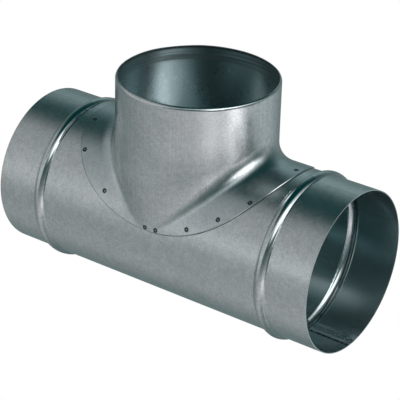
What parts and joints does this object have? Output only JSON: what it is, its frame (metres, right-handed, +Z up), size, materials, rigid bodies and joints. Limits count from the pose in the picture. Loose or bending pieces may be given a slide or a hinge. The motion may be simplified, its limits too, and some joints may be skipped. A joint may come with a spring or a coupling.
{
  "type": "galvanized duct tee",
  "caption": "Round sheet-metal duct tee: a beaded through tube with an upright branch collar on a spot-welded oval saddle.",
  "frame": {"origin": "where the centre lines of the run and the branch cross", "axes": "+X along the run, +Z up the branch towards its rim, +Y square to both"},
  "size_m": [0.287, 0.1298, 0.1799],
  "materials": {
    "rolled_sheet": "matt galvanized, with a fine grain along the rolling direction",
    "pressed_sheet": "matt galvanized, drawn smooth, with faint upright streaks on the collar"
  },
  "bodies": {
    "root": {"run_tube": "rolled_sheet", "branch_saddle": "pressed_sheet"}
  },
  "joints": []
}
